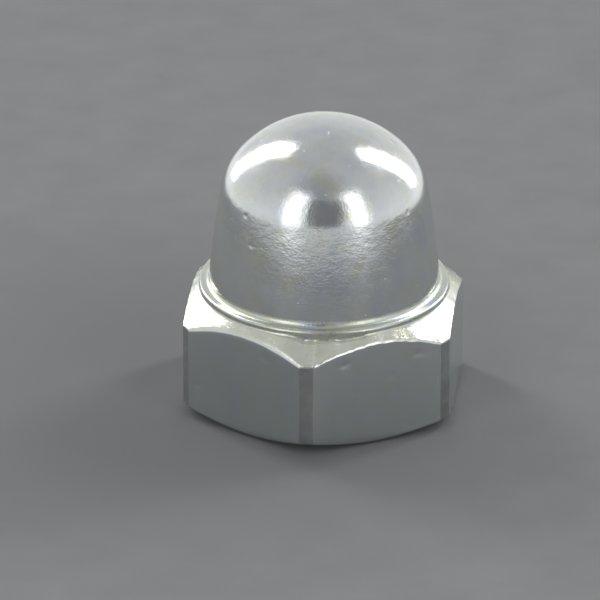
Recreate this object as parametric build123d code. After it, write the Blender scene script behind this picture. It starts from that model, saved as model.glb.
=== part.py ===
from build123d import *
from math import cos, radians, sin, sqrt, tan
import os

# A one-piece steel cap nut: a hexagon body with a closed, tapered dome above it and
# a blind threaded hole below. Millimetres, +Z up along the nut's axis of symmetry.
# The origin is the centre of the bearing face, and +X is square to one pair of flats.
# The thread itself is not cut here: the hole is the bore left at the thread's crests.

# ---- hexagon body
across_flats = 13.0             # spanner size of an M8 nut
corner_turning = 0.19           # depth turned off each sharp corner of the hexagon
hexagon_height = 5.7            # bearing face to the inner end of the top chamfer
top_chamfer_angle = 39.0        # degrees above the horizontal
bearing_face_inset = 0.325      # from the flats in to the rim of the bearing face
bottom_chamfer_angle = 26.0     # degrees above the horizontal

# ---- collar, the low step left where the dome was turned down
collar_width = 0.45             # around the foot of the dome
collar_height = 0.3             # above the inner end of the top chamfer
collar_edge_radius = 0.12

# ---- dome
dome_base_diameter = 11.25      # at the top of the collar
dome_base_fillet = 0.25
side_draft = 4.6                # degrees the wall leans in at its foot
side_bow_radius = 52.0          # the wall is bowed very slightly outwards
shoulder_radius = 3.25          # between the wall and the crown
crown_rise = 2.8                # top of the wall, were it sharp, to the top of the nut
total_height = 14.35            # bearing face to the top of the crown

# ---- blind hole
bore_diameter = 6.8             # crests of an M8 x 1.25 thread
drill_point_angle = 118.0       # degrees, whole angle of the drilled end
crown_thickness = 1.7           # steel left over the tip of the drill point
countersink_width = 0.9         # around the bore at the bearing face
countersink_angle = 90.0        # degrees, whole angle

# ---- heights and radii that follow from the sizes above
across_flats_radius = across_flats / 2
corner_radius = across_flats_radius / cos(radians(30)) - corner_turning
bearing_face_radius = across_flats_radius - bearing_face_inset
dome_base_radius = dome_base_diameter / 2
collar_radius = dome_base_radius + collar_width
collar_top = hexagon_height + collar_height
bore_radius = bore_diameter / 2


def rise(run, angle):
    """Height gained over a horizontal run on a slope of the given angle."""
    return run * tan(radians(angle))


def hexagon_prism():
    """Hexagonal bar stock, flats square to X, as tall as the body."""
    hexagon = RegularPolygon(across_flats_radius, 6, major_radius=False, rotation=30)
    return extrude(hexagon, amount=hexagon_height)


def turned_envelope():
    """Body of revolution that knocks off the corners and chamfers both ends."""
    corner_foot = rise(corner_radius - bearing_face_radius, bottom_chamfer_angle)
    corner_top = hexagon_height - rise(corner_radius - collar_radius, top_chamfer_angle)
    outline = Polyline(
        (0, 0),
        (bearing_face_radius, 0),
        (corner_radius, corner_foot),
        (corner_radius, corner_top),
        (collar_radius, hexagon_height),
        (0, hexagon_height),
        close=True,
    )
    return revolve(Plane.XZ * make_face(outline), Axis.Z)


def hexagon_body():
    """Chamfered hexagon: its flats end above and below in curved edges."""
    return hexagon_prism() & turned_envelope()


def wall_radius(height):
    """Radius of the dome's leaning, slightly bowed wall at a height on it."""
    centre_x = dome_base_radius - side_bow_radius * cos(radians(side_draft))
    centre_z = collar_top - side_bow_radius * sin(radians(side_draft))
    return centre_x + sqrt(side_bow_radius**2 - (height - centre_z) ** 2)


def dome_outline():
    """Half section of the dome: the wall, a round shoulder and a flatter crown."""
    foot = (dome_base_radius, collar_top)
    wall_top = total_height - crown_rise
    head = (wall_radius(wall_top), wall_top)
    top = (0, total_height)
    edges = [
        RadiusArc(foot, head, -side_bow_radius),
        TangentArc(top, head, tangent=(1, 0)),
        Line(top, (0, 0)),
        Line((0, 0), (dome_base_radius, 0)),
        Line((dome_base_radius, 0), foot),
    ]
    half = make_face(edges)
    shoulder = half.vertices().sort_by(lambda v: abs(v.Y - wall_top) + abs(v.X - head[0]))
    return fillet(shoulder[0], shoulder_radius)


def collar_outline():
    """Half section of the low round step that the dome stands on."""
    return Pos(collar_radius / 2, collar_top / 2) * Rectangle(collar_radius, collar_top)


def collar_and_dome():
    """The turned upper part, with a small round in the corner and on the step's rim."""
    rim_round = min(collar_edge_radius, collar_width / 3, collar_height / 2)
    foot_round = min(dome_base_fillet, 0.99 * (collar_width - rim_round))
    half = dome_outline() + collar_outline()
    step = half.vertices().filter_by(lambda v: abs(v.Y - collar_top) < 1e-6)
    half = fillet(step.sort_by(lambda v: v.X)[0], foot_round)
    rim = half.vertices().filter_by(lambda v: abs(v.X - collar_radius) < 1e-6)
    half = fillet(rim.sort_by(lambda v: v.Y)[-1], rim_round)
    return revolve(Plane.XZ * half, Axis.Z)


def blind_hole():
    """Countersunk mouth, plain bore and drill point, as one solid to take away."""
    mouth_radius = bore_radius + countersink_width
    mouth_depth = countersink_width / tan(radians(countersink_angle / 2))
    tip = total_height - crown_thickness
    shoulder = tip - bore_radius / tan(radians(drill_point_angle / 2))
    outline = Polyline(
        (0, -1),
        (mouth_radius, -1),
        (mouth_radius, 0),
        (bore_radius, mouth_depth),
        (bore_radius, shoulder),
        (0, tip),
        close=True,
    )
    return revolve(Plane.XZ * make_face(outline), Axis.Z)


def cap_nut():
    """The finished nut, one solid."""
    return hexagon_body() + collar_and_dome() - blind_hole()


nut = cap_nut()
nut.label = "cap_nut"

os.makedirs("parts", exist_ok=True)
export_step(nut, "parts/cap_nut.step")
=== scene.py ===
from math import atan2, cos, degrees, hypot, radians, sin, sqrt, tan
import bpy
import bmesh
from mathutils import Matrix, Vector, noise


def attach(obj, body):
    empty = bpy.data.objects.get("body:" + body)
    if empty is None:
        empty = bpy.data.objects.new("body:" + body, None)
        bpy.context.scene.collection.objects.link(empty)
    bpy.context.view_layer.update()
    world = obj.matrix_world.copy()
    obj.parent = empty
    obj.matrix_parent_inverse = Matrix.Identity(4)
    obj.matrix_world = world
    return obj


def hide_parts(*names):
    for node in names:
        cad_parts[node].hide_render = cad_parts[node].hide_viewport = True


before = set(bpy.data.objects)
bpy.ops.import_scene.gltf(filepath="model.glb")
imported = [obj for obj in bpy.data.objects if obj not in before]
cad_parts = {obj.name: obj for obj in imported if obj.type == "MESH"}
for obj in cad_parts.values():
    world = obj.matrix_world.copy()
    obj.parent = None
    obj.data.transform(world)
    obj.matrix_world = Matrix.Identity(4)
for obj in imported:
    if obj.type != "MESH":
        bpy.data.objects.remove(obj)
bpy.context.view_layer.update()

scene = bpy.context.scene
scene.view_settings.view_transform = "Standard"


# ---- The nut
# One piece of steel: cold-formed hexagon body, chamfers, collar and dome turned, the blind
# hole drilled and tapped from below, then bright zinc plated all over with a clear passivation.
# Lengths in this section are millimetres, angles are degrees round the axis from +X.
across_flats_radius = 6.5
corner_radius = across_flats_radius / cos(radians(30)) - 0.19
hexagon_height = 5.7
bearing_face_radius = 6.175
bottom_chamfer_slope = tan(radians(26))
top_chamfer_slope = tan(radians(39))
collar_radius = 6.075
collar_top = 6.0
collar_rim_round = 0.12
dome_base_radius = 5.625
dome_foot_round = 0.25
side_draft = radians(4.6)
side_bow_radius = 52.0
shoulder_radius = 3.25
crown_rise = 2.8
nut_height = 14.35

# azimuths of what the turning tool left on the front of the nut
groove_middle = 279
torn_rim_middle = 300
soft_rim_middle = 240
corner_strip_from = 27.2

pitch = 1.25
thread_root_radius = 4.0
bore_radius = 3.4
countersink_radius = 4.3
thread_full_to = 8.3
thread_ends = 9.7
drill_point_radius_drop = tan(radians(59))
drill_tip = 12.65


def wander(x, y, z, size, seed=0.0):
    """Smooth wandering between -1 and 1 whose bumps are about this many millimetres across."""
    return noise.noise(Vector((x / size + seed, y / size - seed, z / size + 2 * seed)))


def smooth_step(low, high, value):
    t = min(1.0, max(0.0, (value - low) / (high - low)))
    return t * t * (3 - 2 * t)


def hexagon_radius(angle):
    """Radius of the hexagon's side, flats blending into the turned-off corners."""
    off_centre = (angle + 30) % 60 - 30
    flat = across_flats_radius / cos(radians(off_centre))
    blend = 0.035
    h = max(0.0, 1 - abs(flat - corner_radius) / blend)
    return min(flat, corner_radius) - blend * h * h / 4


def wall_radius(height):
    """Radius of the dome's leaning, slightly bowed wall."""
    centre_x = dome_base_radius - side_bow_radius * cos(side_draft)
    centre_z = collar_top - side_bow_radius * sin(side_draft)
    return centre_x + sqrt(side_bow_radius**2 - (height - centre_z) ** 2)


def rounded_corner(before, corner, after, reach, steps):
    """Points that turn the corner of a section within a reach of it."""
    before, corner, after = Vector(before), Vector(corner), Vector(after)
    start = corner + (before - corner).normalized() * reach
    end = corner + (after - corner).normalized() * reach
    points = []
    for i in range(steps + 1):
        t = i / steps
        points.append(tuple((1 - t) ** 2 * start + 2 * t * (1 - t) * corner + t * t * end))
    return points


def arc(centre, radius, first, last, steps):
    """Points on an arc of the section, leaving out its first."""
    points = []
    for i in range(1, steps + 1):
        a = radians(first + (last - first) * i / steps)
        points.append((centre[0] + radius * cos(a), centre[1] + radius * sin(a)))
    return points


def spread(start, end, steps):
    """Points between two points of the section, leaving out both."""
    return [
        (start[0] + (end[0] - start[0]) * i / steps, start[1] + (end[1] - start[1]) * i / steps)
        for i in range(1, steps)
    ]


# The dome's section is the same all round: collar rim, foot, wall, shoulder, crown.
wall_top = nut_height - crown_rise
head_radius = wall_radius(wall_top)
crown_radius = (head_radius**2 + crown_rise**2) / (2 * crown_rise)
crown_centre = nut_height - crown_radius
bow_centre = (dome_base_radius - side_bow_radius * cos(side_draft),
              collar_top - side_bow_radius * sin(side_draft))

# The shoulder's round touches the wall's arc and the crown's arc from inside.
to_bow = side_bow_radius - shoulder_radius
to_crown = crown_radius - shoulder_radius
gap = hypot(bow_centre[0], bow_centre[1] - crown_centre)
along = (to_bow**2 - to_crown**2 + gap**2) / (2 * gap)
across = sqrt(to_bow**2 - along**2)
line = ((0 - bow_centre[0]) / gap, (crown_centre - bow_centre[1]) / gap)
shoulder_centre = (bow_centre[0] + along * line[0] - across * line[1],
                   bow_centre[1] + along * line[1] + across * line[0])
shoulder_low = degrees(atan2(shoulder_centre[1] - bow_centre[1], shoulder_centre[0] - bow_centre[0]))
shoulder_high = degrees(atan2(shoulder_centre[1] - crown_centre, shoulder_centre[0]))


def side_section(angle):
    """Section at one azimuth, from the mouth of the hole round to the top of the crown."""
    side = hexagon_radius(angle)
    x, y = side * cos(radians(angle)), side * sin(radians(angle))
    # the turned chamfer left a torn, wavering rim on the flats, worst where the tool came off
    torn = 0.3 + 0.5 * smooth_step(-0.2, 0.5, wander(x, y, 0, 4.0, 3.1))
    torn = max(torn, 1.0 * (1 - smooth_step(22, 34, abs(angle - torn_rim_middle))))
    soft = 1 - smooth_step(22, 32, abs(angle - soft_rim_middle))
    waver = 0.03 * wander(x, y, 0, 0.9, 7.7) + torn * (1 - soft) * (
        0.05 * wander(x, y, 0, 0.35, 1.3) + 0.03 * wander(x, y, 0, 0.15, 4.3))
    low = (side - bearing_face_radius) * bottom_chamfer_slope
    high = hexagon_height - (side - collar_radius) * top_chamfer_slope + waver
    # in front the tool stopped short and left a deeper nick of a groove under the collar
    away = (angle - groove_middle + 180) % 360 - 180
    groove = 0.18 * (1 - smooth_step(10, 20, abs(away)))
    groove *= 0.8 + 0.6 * wander(x, y, 0, 0.45, 5.2)
    collar_out = collar_radius + 0.012 * wander(x, y, 0, 1.1, 9.0)
    points = [(r, 0.0) for r in (countersink_radius, 4.36, 4.7, 5.1, 5.5, 5.85)]
    foot, lower, upper = (bearing_face_radius, 0.0), (side, low), (side, high)
    inner = (collar_out, hexagon_height - groove)
    points += rounded_corner((5.0, 0.0), foot, lower, 0.06, 2)
    turn = rounded_corner(foot, lower, upper, 0.09, 4)
    points += spread(points[-1], turn[0], 7) + turn
    turn = rounded_corner(lower, upper, inner, 0.08 + 0.03 * torn + 0.12 * soft, 5)
    points += spread(points[-1], turn[0], 36) + turn
    turn = rounded_corner(upper, inner, (collar_out, collar_top), 0.05, 2)
    points += spread(points[-1], turn[0], 16) + turn
    rim = collar_top - collar_rim_round
    points += [(collar_out, (turn[-1][1] + rim) / 2), (collar_out, rim)]
    points += arc((collar_out - collar_rim_round, rim), collar_rim_round, 0, 90, 4)
    return points


def upper_section():
    """Section of the dome above the collar, the same all round."""
    reach = dome_foot_round
    foot_end = collar_top + 0.92 * reach
    points = arc((dome_base_radius + reach - 0.02, collar_top + reach), reach, 270, 186, 6)
    for i in range(1, 61):
        z = foot_end + (shoulder_centre[1] + shoulder_radius * sin(radians(shoulder_low)) - foot_end) * i / 60
        points.append((wall_radius(z), z))
    points += arc(shoulder_centre, shoulder_radius, shoulder_low, shoulder_high, 14)
    points += arc((0, crown_centre), crown_radius, shoulder_high, 88.8, 34)
    return points


# Nicks, pits and flecks: azimuth, height, half width, half height, depth (below zero stands proud).
marks = [
    (217, 1.9, 0.11, 0.10, 0.08), (252, 4.5, 0.18, 0.08, 0.04), (285, 4.5, 0.22, 0.10, 0.06),
    (284, 4.6, 0.12, 0.08, -0.004), (318, 4.4, 0.22, 0.10, 0.05), (313, 0.8, 0.12, 0.10, 0.05),
    (306, 3.5, 0.28, 0.12, 0.022), (304, 3.6, 0.16, 0.09, -0.004), (4, 13.3, 0.09, 0.08, 0.035),
    (285, 14.2, 0.05, 0.07, 0.03), (228, 10.8, 0.09, 0.06, 0.03), (330, 10.9, 0.04, 0.10, 0.03),
    (235, 9.5, 0.20, 0.06, 0.016), (97, 3.1, 0.30, 0.09, 0.03), (41, 1.8, 0.09, 0.08, 0.04),
    (158, 4.1, 0.20, 0.06, 0.03), (121, 9.9, 0.12, 0.08, 0.03), (66, 7.6, 0.16, 0.06, 0.02),
    (172, 2.2, 0.12, 0.10, 0.03), (20, 3.7, 0.24, 0.07, 0.02), (195, 8.4, 0.10, 0.07, 0.02),
]


def blemish(x, y, z):
    """How far the surface stands in from true, marks and the unevenness of each zone."""
    depth = 0.0
    for angle, height, wide, tall, deep in marks:
        r = max(hypot(x, y), 0.3)
        turn = (degrees(atan2(y, x)) - angle + 180) % 360 - 180
        if abs(turn) * r > 60 or abs(z - height) > 0.5:
            continue
        d = (radians(turn) * r / wide) ** 2 + ((z - height) / tall) ** 2
        if d < 4:
            depth += deep * (1 - d / 4) ** 3 * (1 + 0.4 * wander(x, y, z, 0.08))
    if z < 0.02:
        return depth
    if z < hexagon_height - 0.02:
        side = hypot(x, y)
        on_flat = smooth_step(0.06, 0.2, (hexagon_height - z) / top_chamfer_slope + collar_radius - side)
        depth += on_flat * (0.006 + 0.006 * wander(x, y, z, 2.6, 4.4))
        off_centre = abs((degrees(atan2(y, x)) + 30) % 60 - 30)
        strip = smooth_step(corner_strip_from, corner_strip_from + 0.6, off_centre)
        depth += on_flat * strip * (0.012 + 0.006 * wander(x, y, z, 0.4, 1.9))
        on_chamfer = (1 - on_flat) * smooth_step(3.5, 4.5, z)
        pitted = smooth_step(-0.1, 0.35, wander(x, y, 0, 3.2, 2.9))
        depth += on_chamfer * (0.005 + 0.0025 * wander(x, y, z, 0.8, 6.1))
        depth += on_chamfer * pitted * 0.008 * wander(x, y, z, 0.2, 2.2)
    elif z > 6.3:
        dimples = smooth_step(8.3, 10.4, z) * (1 - 0.7 * smooth_step(12.4, 13.4, z))
        depth += 0.003 + 0.0035 * wander(x, y, z, 2.2, 8.8)
        depth += dimples * 0.003 * wander(x, y, z, 0.3, 5.5)
    return depth


# Columns run round the nut, closer together where the flats meet the turned-off corners.
half_flat = [1.2 * i for i in range(22)] + [26.0, 26.5, 26.85, 27.1, 27.35, 27.6, 27.95, 28.5, 29.2]
offsets = sorted({-a for a in half_flat} | set(half_flat) | {30.0})
columns = [sector + offset for sector in range(0, 360, 60) for offset in offsets]

# Rows of the section, counted from the mouth of the hole outwards and up.
flat_rows = range(18, 58)
chamfer_rows = range(58, 74)
step_rows = range(74, 91)


def zone(row, angle):
    """Which material a face takes: flats, turned, thread, step, corner strips, chamfer."""
    if row in flat_rows:
        return 4 if abs((angle + 30.3) % 60 - 30) > corner_strip_from else 0
    return 5 if row in chamfer_rows else 3 if row in step_rows else 1


nut_mesh = bmesh.new()
rings = None
top_section = upper_section()
for angle in columns:
    section = side_section(angle) + top_section
    c, s = cos(radians(angle)), sin(radians(angle))
    if rings is None:
        rings = [[] for point in section]
    for i, (r, z) in enumerate(section):
        before, after = section[max(i - 1, 0)], section[min(i + 1, len(section) - 1)]
        along_r, along_z = after[0] - before[0], after[1] - before[1]
        length = hypot(along_r, along_z) or 1.0
        depth = blemish(r * c, r * s, z)
        r_in, z_in = r - depth * along_z / length, z + depth * along_r / length
        if i < 6:
            r_in, z_in = r, 0.0
        rings[i].append(nut_mesh.verts.new((r_in * c, r_in * s, max(z_in, 0.0))))
count = len(columns)
for row, (lower_ring, upper_ring) in enumerate(zip(rings, rings[1:])):
    for j in range(count):
        k = (j + 1) % count
        face = nut_mesh.faces.new((lower_ring[j], lower_ring[k], upper_ring[k], upper_ring[j]))
        face.material_index = zone(row, columns[j])
top = nut_mesh.verts.new((0, 0, nut_height))
for j in range(count):
    nut_mesh.faces.new((rings[-1][j], rings[-1][(j + 1) % count], top)).material_index = 1

# The thread: rows follow the helix, and stop at the countersink and in the tap's run-out.
row_phases = [0, 0.0625, 0.13, 0.2, 0.27, 0.34, 0.42, 0.5, 0.58, 0.66, 0.73, 0.8, 0.87, 0.9375]
per_turn = len(row_phases)
turns = int(thread_ends / pitch) + 2


def thread_radius(angle, z):
    """Radius of the tapped hole at a place on its wall."""
    phase = (z / pitch - angle / 360 + 0.5) % 1 - 0.5
    flank = min(1.0, max(0.0, (0.34 - abs(phase)) / (0.34 - 0.0625)))
    depth = (thread_root_radius - bore_radius) * (1 - smooth_step(thread_full_to, thread_ends, z))
    return max(bore_radius + depth * flank, countersink_radius - z)


inner_columns = columns[::3]
first_angle = inner_columns[0]
inner_rows = []
for row in range(turns * per_turn + 1):
    ring = []
    for angle in inner_columns:
        raw = pitch * (row // per_turn + row_phases[row % per_turn] - 1 + (angle - first_angle) / 360)
        z = min(max(raw, 0.0), thread_ends)
        r = thread_radius(angle - first_angle, z)
        c, s = cos(radians(angle)), sin(radians(angle))
        ring.append(nut_mesh.verts.new((r * c, r * s, z)))
    inner_rows.append(ring)
inner_count = len(inner_columns)
last = len(inner_rows) - 1
for row in range(last):
    for j in range(inner_count):
        if j < inner_count - 1:
            right_low, right_high = inner_rows[row][j + 1], inner_rows[row + 1][j + 1]
        else:
            right_low = inner_rows[min(row + per_turn, last)][0]
            right_high = inner_rows[min(row + 1 + per_turn, last)][0]
        corners = list(dict.fromkeys((inner_rows[row][j], inner_rows[row + 1][j], right_high, right_low)))
        nut_mesh.faces.new(corners).material_index = 2
# the mouth's circle has three columns of the outside to each one of the hole
for j in range(0, count, 3):
    outside = [rings[0][(j + step) % count] for step in (3, 2, 1, 0)]
    nut_mesh.faces.new(outside).material_index = 2
end_ring = inner_rows[last]
drill_shoulder = drill_tip - bore_radius / drill_point_radius_drop
for r, z in [(bore_radius, 10.1), (bore_radius, drill_shoulder - 0.03),
             (bore_radius - 0.05, drill_shoulder + 0.03), (2.6, 0), (1.9, 0), (1.2, 0), (0.5, 0)]:
    z = z or drill_tip - r / drill_point_radius_drop
    ring = []
    for angle in inner_columns:
        ring.append(nut_mesh.verts.new((r * cos(radians(angle)), r * sin(radians(angle)), z)))
    for j in range(inner_count):
        k = (j + 1) % inner_count
        nut_mesh.faces.new((end_ring[j], ring[j], ring[k], end_ring[k])).material_index = 2
    end_ring = ring
tip = nut_mesh.verts.new((0, 0, drill_tip - 0.08))
for j in range(inner_count):
    nut_mesh.faces.new((end_ring[j], tip, end_ring[(j + 1) % inner_count])).material_index = 2

bmesh.ops.remove_doubles(nut_mesh, verts=nut_mesh.verts, dist=0.0004)
bmesh.ops.dissolve_degenerate(nut_mesh, edges=nut_mesh.edges, dist=0.00005)
for vert in nut_mesh.verts:
    vert.co *= 0.001
for face in nut_mesh.faces:
    face.smooth = True
for edge in nut_mesh.edges:
    if len(edge.link_faces) == 2 and edge.calc_face_angle() > radians(38):
        edge.smooth = False
nut_data = bpy.data.meshes.new("Cap_Nut")
nut_mesh.to_mesh(nut_data)
nut_mesh.free()
nut = bpy.data.objects.new("Cap_Nut", nut_data)
scene.collection.objects.link(nut)


def new_group(name, inputs, outputs):
    """An empty shader node group with its sockets, its nodes still to be placed."""
    group = bpy.data.node_groups.new(name, "ShaderNodeTree")
    for label, kind, value in inputs:
        socket = group.interface.new_socket(label, in_out="INPUT", socket_type=kind)
        if value is not None:
            socket.default_value = value
    for label, kind in outputs:
        group.interface.new_socket(label, in_out="OUTPUT", socket_type=kind)
    return group, group.nodes.new("NodeGroupInput"), group.nodes.new("NodeGroupOutput")


def noise_node(tree, vector, scale, detail=3.0, roughness=0.5):
    node = tree.nodes.new("ShaderNodeTexNoise")
    node.inputs["Scale"].default_value = scale
    node.inputs["Detail"].default_value = detail
    node.inputs["Roughness"].default_value = roughness
    tree.links.new(vector, node.inputs["Vector"])
    return node.outputs["Fac"]


def remap(tree, value, low, high, to_low, to_high):
    node = tree.nodes.new("ShaderNodeMapRange")
    for name, number in (("From Min", low), ("From Max", high), ("To Min", to_low), ("To Max", to_high)):
        node.inputs[name].default_value = number
    tree.links.new(value, node.inputs["Value"])
    return node.outputs["Result"]


def stretch(tree, vector, scale):
    node = tree.nodes.new("ShaderNodeMapping")
    node.inputs["Scale"].default_value = scale
    tree.links.new(vector, node.inputs["Vector"])
    return node.outputs["Vector"]


def mix_colour(tree, factor, first, second):
    node = tree.nodes.new("ShaderNodeMix")
    node.data_type = "RGBA"
    tree.links.new(factor, node.inputs["Factor"])
    for socket, colour in ((node.inputs["A"], first), (node.inputs["B"], second)):
        if isinstance(colour, tuple):
            socket.default_value = colour
        else:
            tree.links.new(colour, socket)
    return node.outputs["Result"]


def add_up(tree, first, second, weight):
    node = tree.nodes.new("ShaderNodeMath")
    node.operation = "MULTIPLY_ADD"
    tree.links.new(second, node.inputs[0])
    node.inputs[1].default_value = weight
    tree.links.new(first, node.inputs[2])
    return node.outputs["Value"]


# The clear passivation's faint bands of straw, green and blue over the zinc.
passivation, given, result = new_group(
    "Passivation",
    [("Millimetres", "NodeSocketVector", None), ("Zinc", "NodeSocketColor", (0.8, 0.82, 0.83, 1)),
     ("Straw", "NodeSocketColor", (0.75, 0.77, 0.61, 1)), ("Blue", "NodeSocketColor", (0.67, 0.72, 0.8, 1)),
     ("Amount", "NodeSocketFloat", 0.5)],
    [("Color", "NodeSocketColor")])
where = given.outputs["Millimetres"]
straw = remap(passivation, noise_node(passivation, where, 0.8, 5.0, 0.65), 0.46, 0.64, 0, 1)
flattened = stretch(passivation, where, (1, 1, 0.6))
blue = remap(passivation, noise_node(passivation, flattened, 0.6, 4.0), 0.48, 0.66, 0, 1)
for label, mask in (("Straw", straw), ("Blue", blue)):
    scale = passivation.nodes.new("ShaderNodeMath")
    scale.operation = "MULTIPLY"
    passivation.links.new(mask, scale.inputs[0])
    passivation.links.new(given.outputs["Amount"], scale.inputs[1])
    before = given.outputs["Zinc"] if label == "Straw" else tinted
    tinted = mix_colour(passivation, scale.outputs["Value"], before, given.outputs[label])
passivation.links.new(tinted, result.inputs["Color"])

# Crystalline grain of the plating with a few pinholes, as a height and a dullness.
plate_grain, given, result = new_group(
    "Plate_Grain", [("Millimetres", "NodeSocketVector", None)],
    [("Height", "NodeSocketFloat"), ("Dullness", "NodeSocketFloat")])
where = given.outputs["Millimetres"]
fine = noise_node(plate_grain, where, 9.0, 4.0, 0.6)
coarse = noise_node(plate_grain, where, 2.6, 3.0, 0.5)
cells = plate_grain.nodes.new("ShaderNodeTexVoronoi")
cells.inputs["Scale"].default_value = 1.7
plate_grain.links.new(where, cells.inputs["Vector"])
pinholes = remap(plate_grain, cells.outputs["Distance"], 0.03, 0.075, -1, 0)
height = add_up(plate_grain, add_up(plate_grain, fine, coarse, 0.8), pinholes, 1.0)
plate_grain.links.new(height, result.inputs["Height"])
plate_grain.links.new(noise_node(plate_grain, where, 1.3, 5.0, 0.65), result.inputs["Dullness"])

# Lines left by cutting or drawing, as fine as the stretch of the coordinates makes them.
tool_lines, given, result = new_group(
    "Tool_Lines",
    [("Millimetres", "NodeSocketVector", None), ("Stretch", "NodeSocketVector", (0.3, 0.3, 12))],
    [("Height", "NodeSocketFloat")])
scaled = tool_lines.nodes.new("ShaderNodeVectorMath")
scaled.operation = "MULTIPLY"
tool_lines.links.new(given.outputs["Millimetres"], scaled.inputs[0])
tool_lines.links.new(given.outputs["Stretch"], scaled.inputs[1])
tool_lines.links.new(noise_node(tool_lines, scaled.outputs["Vector"], 1.0, 3.0, 0.6), result.inputs["Height"])


def zinc(name, tint_amount, roughness, lines, line_depth, grain_depth, colour=None):
    """Bright zinc plate, its lines and dullness as one zone of the nut has them."""
    material = bpy.data.materials.new(name)
    material.use_nodes = True
    tree = material.node_tree
    shader = tree.nodes["Principled BSDF"]
    shader.inputs["Metallic"].default_value = 1.0
    coordinates = tree.nodes.new("ShaderNodeTexCoord").outputs["Object"]
    millimetres = stretch(tree, coordinates, (1000, 1000, 1000))
    tint = tree.nodes.new("ShaderNodeGroup")
    tint.node_tree = passivation
    tint.inputs["Amount"].default_value = tint_amount
    if colour:
        tint.inputs["Zinc"].default_value = colour
    grain = tree.nodes.new("ShaderNodeGroup")
    grain.node_tree = plate_grain
    cut = tree.nodes.new("ShaderNodeGroup")
    cut.node_tree = tool_lines
    cut.inputs["Stretch"].default_value = lines
    for node in (tint, grain, cut):
        tree.links.new(millimetres, node.inputs["Millimetres"])
    tree.links.new(tint.outputs["Color"], shader.inputs["Base Color"])
    dull = remap(tree, grain.outputs["Dullness"], 0.3, 0.7, roughness[0], roughness[1])
    tree.links.new(dull, shader.inputs["Roughness"])
    normal = None
    for height, depth in ((cut.outputs["Height"], line_depth), (grain.outputs["Height"], grain_depth)):
        bump = tree.nodes.new("ShaderNodeBump")
        bump.inputs["Distance"].default_value = depth * 0.001
        tree.links.new(height, bump.inputs["Height"])
        if normal:
            tree.links.new(normal, bump.inputs["Normal"])
        normal = bump.outputs["Normal"]
    tree.links.new(normal, shader.inputs["Normal"])
    return material


nut_data.materials.append(zinc("Zinc_On_Flats", 0.35, (0.16, 0.26), (5, 5, 0.25), 0.004, 0.004,
                               (0.76, 0.79, 0.795, 1)))
nut_data.materials.append(zinc("Zinc_On_Turned", 0.6, (0.08, 0.2), (0.25, 0.25, 9), 0.0016, 0.0065))
nut_data.materials.append(zinc("Zinc_In_Thread", 0.8, (0.22, 0.4), (0.3, 0.3, 7), 0.01, 0.01,
                               (0.62, 0.63, 0.62, 1)))
nut_data.materials.append(zinc("Zinc_On_Step", 1.0, (0.22, 0.4), (0.6, 0.6, 9), 0.004, 0.008,
                               (0.66, 0.69, 0.60, 1)))
nut_data.materials.append(zinc("Zinc_On_Corners", 0.3, (0.26, 0.4), (6, 6, 0.3), 0.012, 0.008,
                               (0.44, 0.45, 0.46, 1)))
nut_data.materials.append(zinc("Zinc_On_Chamfer", 0.5, (0.14, 0.32), (0.6, 0.6, 6), 0.003, 0.014,
                               (0.90, 0.92, 0.80, 1)))
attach(nut, "root")
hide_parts("cap_nut")


# ---- The table
# A grey mat about a hand's width across lies on a pale table, round in front of the nut and
# tapering behind it. Round the nut the mat is painted darker, a painted shadow pool that stands
# in for the nut's shade. It carries the nut and its shadow, and the nut's sides mirror it.
floor_mesh = bmesh.new()
bmesh.ops.create_grid(floor_mesh, x_segments=24, y_segments=24, size=0.9)
floor_data = bpy.data.meshes.new("Table")
floor_mesh.to_mesh(floor_data)
floor_mesh.free()
table = bpy.data.objects.new("Table", floor_data)
scene.collection.objects.link(table)
felt = bpy.data.materials.new("Grey_Mat_On_Table")
felt.use_nodes = True
tree = felt.node_tree
shader = tree.nodes["Principled BSDF"]
shader.inputs["Roughness"].default_value = 0.9
shader.inputs["Specular IOR Level"].default_value = 0.1
coordinates = tree.nodes.new("ShaderNodeTexCoord").outputs["Object"]
mat_side, mat_front, mat_back = 0.086, 0.080, 0.072
distance = tree.nodes.new("ShaderNodeVectorMath")
distance.operation = "LENGTH"
tree.links.new(stretch(tree, coordinates, (1 / mat_side, 1 / mat_front, 1)), distance.inputs[0])
axes = tree.nodes.new("ShaderNodeSeparateXYZ")
tree.links.new(coordinates, axes.inputs["Vector"])
sideways = tree.nodes.new("ShaderNodeMath")
sideways.operation = "ABSOLUTE"
tree.links.new(axes.outputs["X"], sideways.inputs[0])
across_mat = remap(tree, sideways.outputs["Value"], 0, mat_side, 0, 1)
taper = add_up(tree, across_mat, remap(tree, axes.outputs["Y"], 0, mat_back, 0, 1), 1)
outermost = tree.nodes.new("ShaderNodeMath")
outermost.operation = "MAXIMUM"
tree.links.new(distance.outputs["Value"], outermost.inputs[0])
tree.links.new(taper, outermost.inputs[1])
beyond_mat = remap(tree, outermost.outputs["Value"], 0.98, 1.02, 0, 1)
millimetres = stretch(tree, coordinates, (1000, 1000, 1000))
mottle = remap(tree, noise_node(tree, millimetres, 0.35, 4.0), 0.3, 0.7, 0, 1)
grey = mix_colour(tree, mottle, (0.240, 0.246, 0.248, 1), (0.262, 0.267, 0.269, 1))
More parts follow.
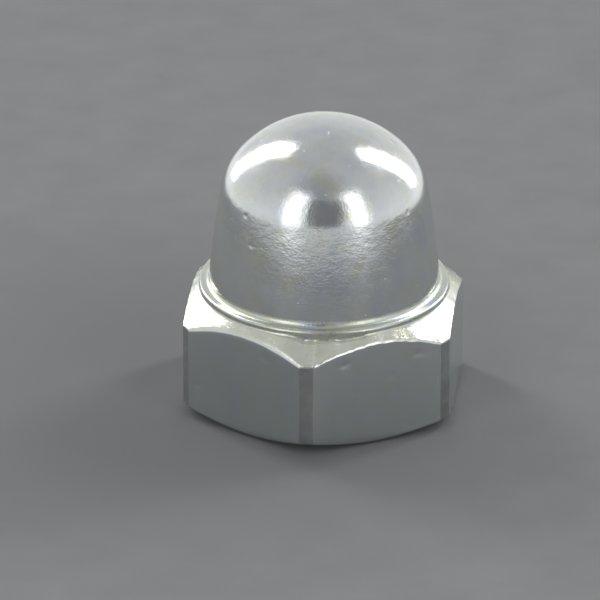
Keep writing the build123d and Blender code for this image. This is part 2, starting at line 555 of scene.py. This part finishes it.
# painted shade: the mat turns darker within about 8 to 24 mm of the nut's middle, a painted shadow pool that
# the nut's sides also reflect
from_shade_pool = tree.nodes.new("ShaderNodeVectorMath")
from_shade_pool.operation = "DISTANCE"
shade_pool_middle = (-0.006, -0.001, 0)
from_shade_pool.inputs[1].default_value = shade_pool_middle
tree.links.new(coordinates, from_shade_pool.inputs[0])
painted_shade_pool = remap(tree, from_shade_pool.outputs["Value"], 0.008, 0.024, 0, 1)
grey = mix_colour(tree, painted_shade_pool, (0.205, 0.211, 0.213, 1), grey)
surface = mix_colour(tree, beyond_mat, grey, (0.88, 0.89, 0.88, 1))
tree.links.new(surface, shader.inputs["Base Color"])
floor_data.materials.append(felt)


# ---- The studio
# Pale walls all round and a shaded ceiling over the front, two tall strip lights behind the
# nut, and two soft windows in front of it with the dark side of the room between them.
camera_bearing = 6.906
shaded_ceiling = (0.0, -0.5, 0.866)
world = bpy.data.worlds.new("Pale_Room")
scene.world = world
world.use_nodes = True
tree = world.node_tree
direction = tree.nodes.new("ShaderNodeTexCoord").outputs["Generated"]
split = tree.nodes.new("ShaderNodeSeparateXYZ")
tree.links.new(direction, split.inputs["Vector"])
up = remap(tree, split.outputs["Z"], 0.1, 0.95, 0, 1)
room = mix_colour(tree, up, (0.74, 0.75, 0.75, 1), (0.46, 0.465, 0.47, 1))
towards = tree.nodes.new("ShaderNodeVectorMath")
towards.operation = "DOT_PRODUCT"
towards.inputs[1].default_value = shaded_ceiling
tree.links.new(direction, towards.inputs[0])
shade = remap(tree, towards.outputs["Value"], 0.9, 0.99, 0, 1)
room = mix_colour(tree, shade, room, (0.31, 0.315, 0.325, 1))
tree.links.new(room, tree.nodes["Background"].inputs["Color"])


def from_nut(azimuth, elevation, away):
    """A place seen from the nut: azimuth from the camera's side, counter-clockwise, in degrees."""
    turn = radians(azimuth - 90 + camera_bearing)
    level = cos(radians(elevation)) * away
    return Vector((cos(turn) * level, sin(turn) * level, sin(radians(elevation)) * away + 0.01))


def face_nut(thing):
    thing.rotation_euler = (Vector((0, 0, 0.01)) - thing.location).to_track_quat("-Z", "Y").to_euler()


def soft_light(name, azimuth, elevation, away, wide, tall, power):
    lamp = bpy.data.lights.new(name, "AREA")
    lamp.shape = "RECTANGLE"
    lamp.size, lamp.size_y = wide, tall
    lamp.energy = power
    light = bpy.data.objects.new(name, lamp)
    scene.collection.objects.link(light)
    light.location = from_nut(azimuth, elevation, away)
    face_nut(light)
    return light


soft_light("Strip_Back_Left", -136, 29, 0.60, 0.10, 0.58, 1.35)
soft_light("Strip_Back_Right", 126, 29, 0.60, 0.10, 0.58, 1.35)
soft_light("Window_Left", -36, 25, 0.125, 0.044, 0.13, 0.0195)
soft_light("Window_Right", 39, 25, 0.125, 0.040, 0.13, 0.0175)
screen_mesh = bmesh.new()
bmesh.ops.create_grid(screen_mesh, x_segments=2, y_segments=2, size=0.5)
screen_data = bpy.data.meshes.new("Dark_Side")
screen_mesh.to_mesh(screen_data)
screen_mesh.free()
dark_side = bpy.data.objects.new("Dark_Side", screen_data)
scene.collection.objects.link(dark_side)
dark_side.scale = (0.078, 0.10, 1)
dark_side.location = from_nut(1, 22, 0.118)
face_nut(dark_side)
dark_side.visible_camera = False
dark_cloth = bpy.data.materials.new("Dark_Cloth")
dark_cloth.use_nodes = True
dark_cloth.node_tree.nodes["Principled BSDF"].inputs["Base Color"].default_value = (0.18, 0.18, 0.185, 1)
dark_cloth.node_tree.nodes["Principled BSDF"].inputs["Roughness"].default_value = 0.9
screen_data.materials.append(dark_cloth)


# ---- The camera
# A long lens close to table height, looking a little down on the nut.
lens = bpy.data.cameras.new("Camera")
lens.sensor_width = 36.0
lens.lens = 360.2
lens.clip_start = 0.005
camera = bpy.data.objects.new("Camera", lens)
scene.collection.objects.link(camera)
scene.camera = camera
bearing, tilt = radians(camera_bearing), radians(25.354)
aim_height, aim_offset, camera_distance = 0.00481, -0.0011765, 0.2925
ahead = Vector((-sin(bearing) * cos(tilt), cos(bearing) * cos(tilt), -sin(tilt)))
rightward = Vector((cos(bearing), sin(bearing), 0))
camera.location = rightward * aim_offset + Vector((0, 0, aim_height)) - ahead * camera_distance
camera.rotation_euler = ahead.to_track_quat("-Z", "Y").to_euler()
